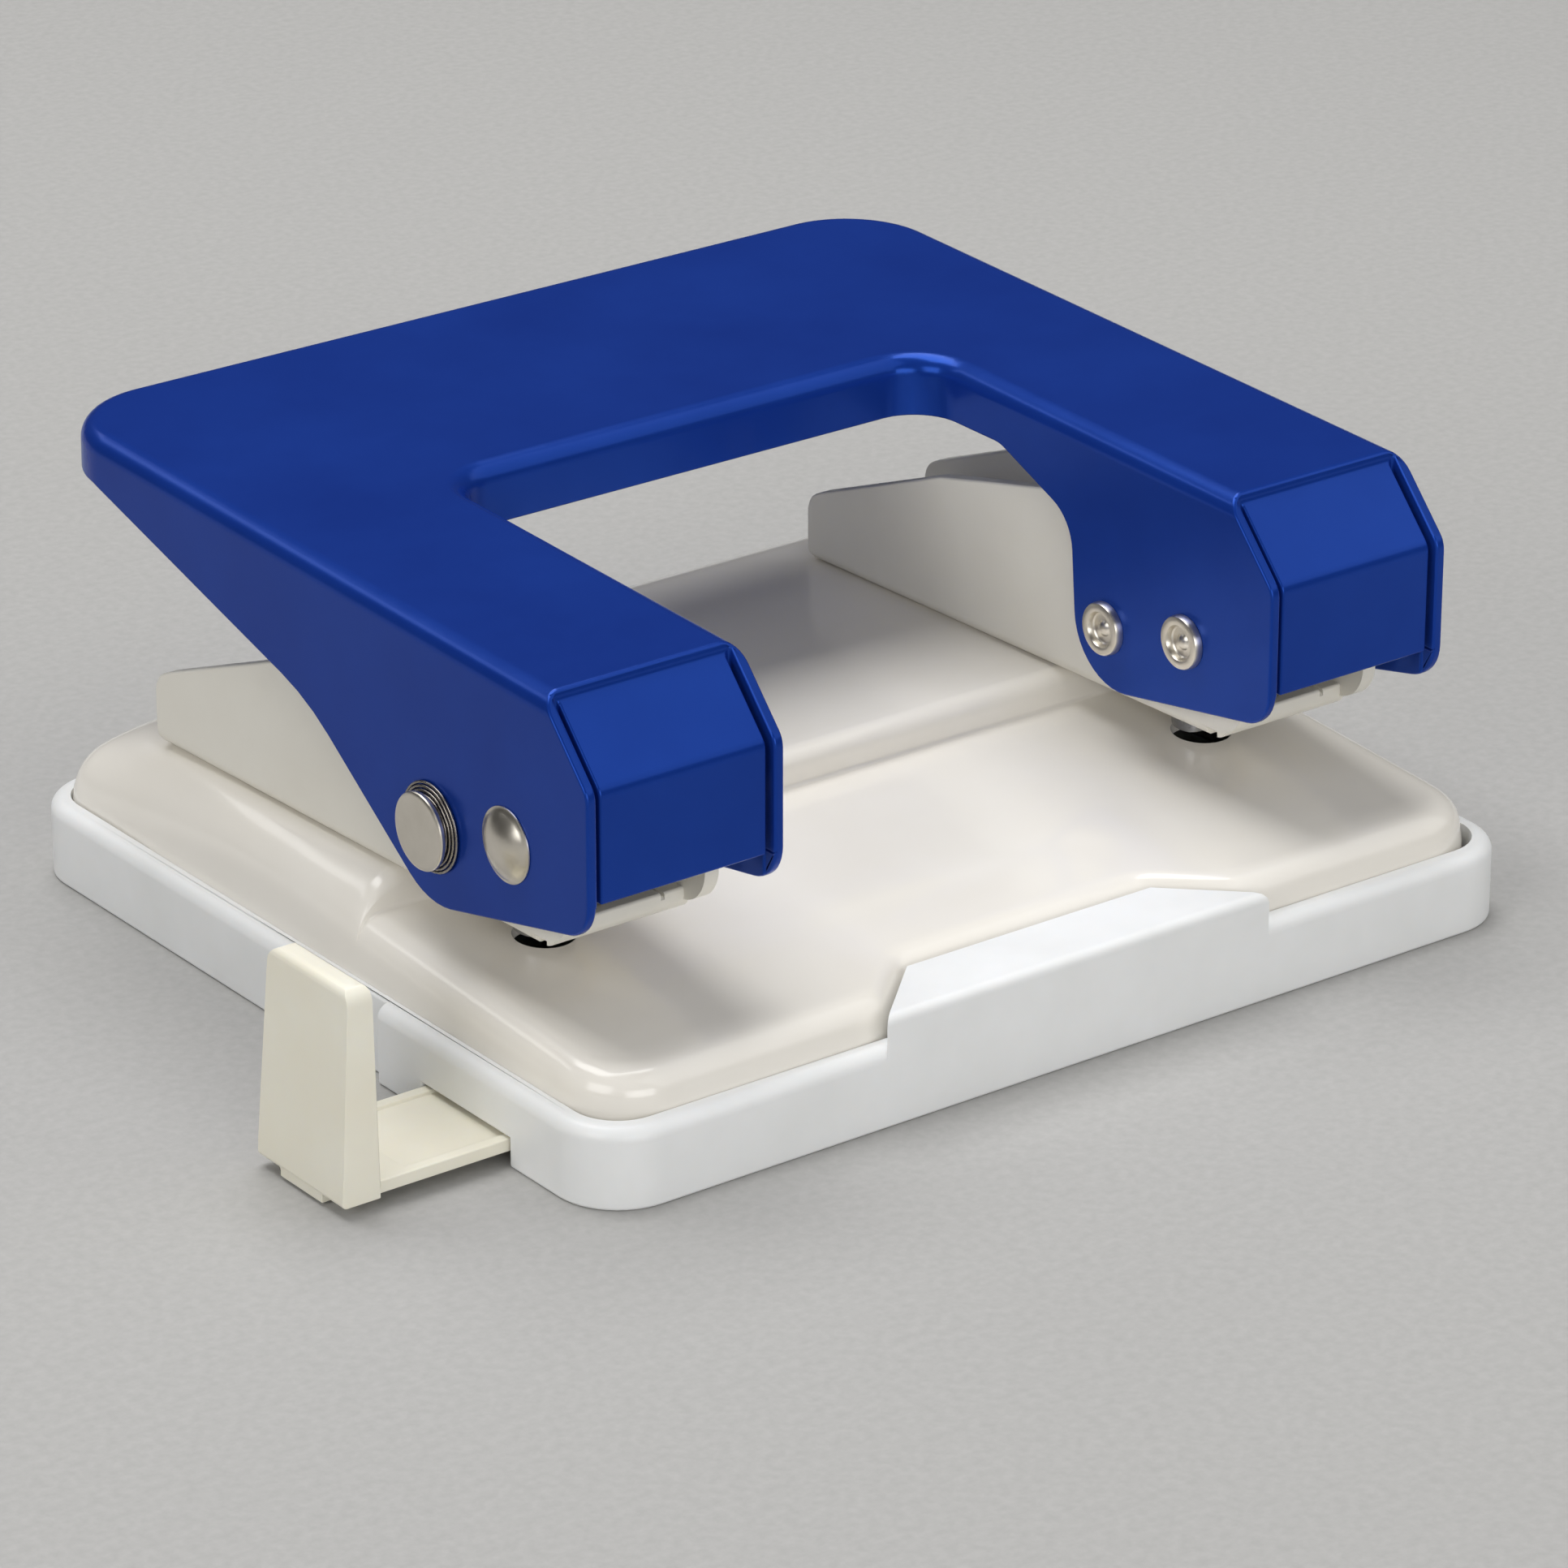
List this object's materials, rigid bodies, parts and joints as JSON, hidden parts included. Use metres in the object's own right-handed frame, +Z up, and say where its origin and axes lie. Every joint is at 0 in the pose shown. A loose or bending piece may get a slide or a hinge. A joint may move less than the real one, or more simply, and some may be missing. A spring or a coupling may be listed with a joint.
{
  "type": "two-hole paper punch",
  "caption": "Desk paper punch with a U-shaped press lever on channel brackets, a stepped steel base, a slide-out paper gauge and a chip tray that lifts off.",
  "frame": {"origin": "middle of the tray's underside, on the table", "axes": "+Z up from the table, -Y toward the side where paper goes in, -X toward the gauge"},
  "size_m": [0.129, 0.0998, 0.0474],
  "materials": {
    "tray_plastic": "smooth moulded",
    "gauge_plastic": "smooth moulded",
    "base_paint": "gloss paint",
    "bracket_paint": "gloss paint",
    "rivet_nickel": "nickel plated",
    "bush_brass": "turned",
    "punch_steel": "ground",
    "lever_paint": "gloss paint",
    "spring_steel": "drawn"
  },
  "bodies": {
    "tray": {"chip_tray": "tray_plastic"},
    "gauge": {"paper_gauge": "gauge_plastic"},
    "base": {"base_plate": "base_paint", "bracket_left": "bracket_paint", "bracket_right": "bracket_paint", "bracket_rivets_left": "rivet_nickel", "bracket_rivets_right": "rivet_nickel", "guide_bush_left": "bush_brass", "guide_bush_right": "bush_brass", "return_spring_left": "spring_steel", "return_spring_right": "spring_steel"},
    "lever": {"lever_handle": "lever_paint", "pivot_rivet_left": "rivet_nickel", "pivot_rivet_right": "rivet_nickel", "drive_rivet_right": "rivet_nickel", "lock_spring": "spring_steel"},
    "lock": {"lock_button": "rivet_nickel", "lock_clip": "spring_steel"},
    "punch_l": {"punch_left": "punch_steel"},
    "punch_r": {"punch_right": "punch_steel"}
  },
  "joints": [
    {"name": "base_lift", "type": "slide", "parent": "tray", "child": "base", "axis": [0, 0, 1], "range_m": [0, 0.03]},
    {"name": "gauge_slide", "type": "slide", "parent": "tray", "child": "gauge", "axis": [-1, 0, 0], "range_m": [-0.0137, 0.079]},
    {"name": "lever_press", "type": "hinge", "parent": "base", "child": "lever", "pos_m": [0, -0.02893, 0.02904], "axis": [-1, 0, 0], "range_deg": [0, 17.5], "stiffness_Nm_per_rad": 0.6, "springref_deg": -22.92, "deforming": ["return_spring_left", "return_spring_right"]},
    {"name": "punch_left_drive", "type": "slide", "parent": "base", "child": "punch_l", "axis": [0, 0, -1], "range_m": [0, 0.0036]},
    {"name": "punch_right_drive", "type": "slide", "parent": "base", "child": "punch_r", "axis": [0, 0, -1], "range_m": [0, 0.0036]},
    {"name": "lock_push", "type": "slide", "parent": "lever", "child": "lock", "axis": [1, 0, 0], "range_m": [0, 0.0006], "stiffness_N_per_m": 150, "springref_m": -0.002, "deforming": ["lock_spring"]}
  ],
  "couplings": [
    {"joint": "punch_left_drive", "follows": "lever_press", "m_per_rad": 0.011468},
    {"joint": "punch_right_drive", "follows": "lever_press", "m_per_rad": 0.011468}
  ]
}
